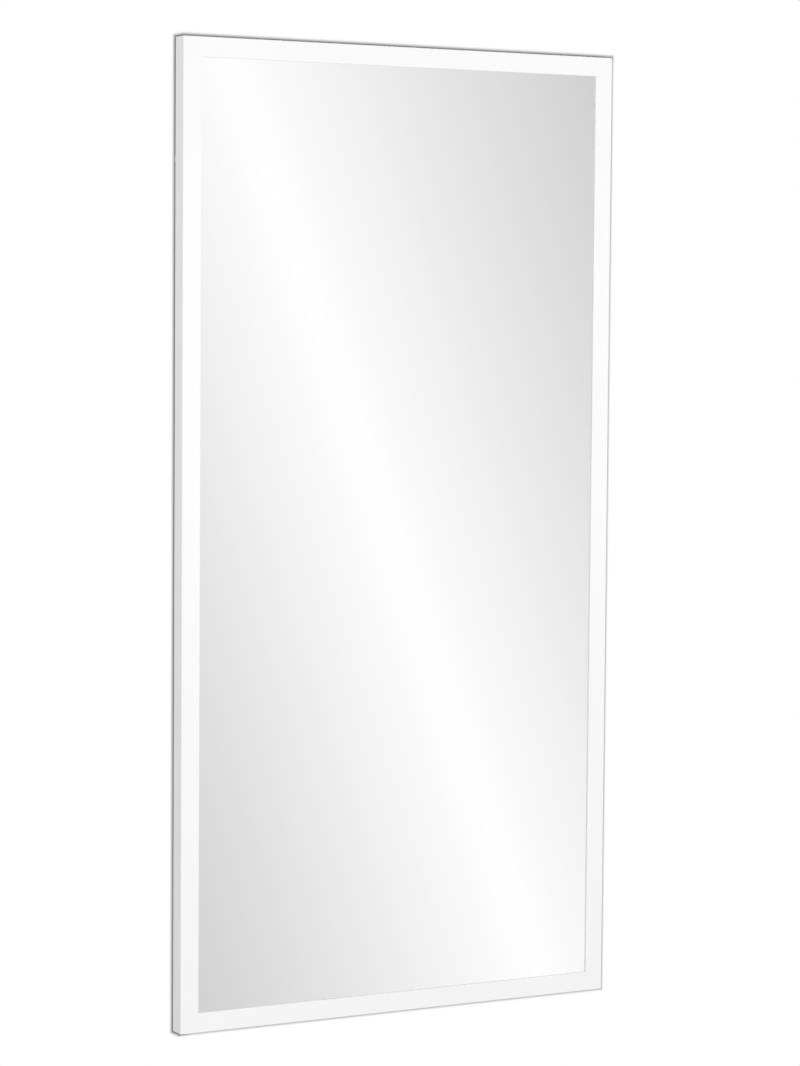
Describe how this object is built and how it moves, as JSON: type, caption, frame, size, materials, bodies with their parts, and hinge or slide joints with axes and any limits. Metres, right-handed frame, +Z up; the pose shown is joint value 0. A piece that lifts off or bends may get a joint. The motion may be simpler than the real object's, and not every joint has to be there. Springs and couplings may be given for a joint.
{
  "type": "wall mirror",
  "caption": "Rectangular wall mirror, twice as high as wide, in a narrow flat white mitred frame, with a flat glass and swinging D-ring hangers on the back so that it hangs upright or lying.",
  "frame": {"origin": "middle of the mirror, on the plane of the wall that the four bumpers touch", "axes": "+X to the viewer's right, +Y from the viewer into the wall, +Z up; the face looks towards -Y"},
  "size_m": [0.6, 0.027, 1.2],
  "materials": {
    "white_foil": "satin white foil over a wood-fibre moulding, bare fibre at the back",
    "silvered_glass": "polished float glass, silvered on its back face",
    "grey_paint": "matte grey protective paint on the silvered face",
    "card": "matte thin card",
    "hardboard": "matte brown hardboard",
    "pad_rubber": "matte",
    "zinc_steel": "satin zinc-plated steel",
    "bright_steel": "satin bright-plated steel",
    "bumper_rubber": "matte soft rubber"
  },
  "bodies": {
    "mirror": {"top_rail": "white_foil", "bottom_rail": "white_foil", "left_stile": "white_foil", "right_stile": "white_foil", "mirror_glass": "silvered_glass", "backing_paint": "grey_paint", "liner_sheet": "card", "back_board": "hardboard", "setting_pads": "pad_rubber", "retaining_points": "zinc_steel", "corner_v_nails": "bright_steel", "hanger_screws": "bright_steel", "left_hanger_strap": "zinc_steel", "right_hanger_strap": "zinc_steel", "top_hanger_strap": "zinc_steel", "bottom_hanger_strap": "zinc_steel", "top_left_bumper": "bumper_rubber", "bottom_left_bumper": "bumper_rubber", "top_right_bumper": "bumper_rubber", "bottom_right_bumper": "bumper_rubber"},
    "left_ring": {"left_hanger_ring": "bright_steel"},
    "right_ring": {"right_hanger_ring": "bright_steel"},
    "top_ring": {"top_hanger_ring": "bright_steel"},
    "bottom_ring": {"bottom_hanger_ring": "bright_steel"}
  },
  "joints": [
    {"name": "left_ring_swing", "type": "hinge", "parent": "mirror", "child": "left_ring", "pos_m": [-0.2915, -0.00302, 0.45], "axis": [-1, 0, 0], "range_deg": [-2, 170]},
    {"name": "right_ring_swing", "type": "hinge", "parent": "mirror", "child": "right_ring", "pos_m": [0.2915, -0.00302, 0.45], "axis": [-1, 0, 0], "range_deg": [-2, 170]},
    {"name": "top_ring_swing", "type": "hinge", "parent": "mirror", "child": "top_ring", "pos_m": [0.19, -0.00302, 0.5915], "axis": [0, 0, 1], "range_deg": [-2, 170]},
    {"name": "bottom_ring_swing", "type": "hinge", "parent": "mirror", "child": "bottom_ring", "pos_m": [0.19, -0.00302, -0.5915], "axis": [0, 0, 1], "range_deg": [-2, 170]}
  ]
}
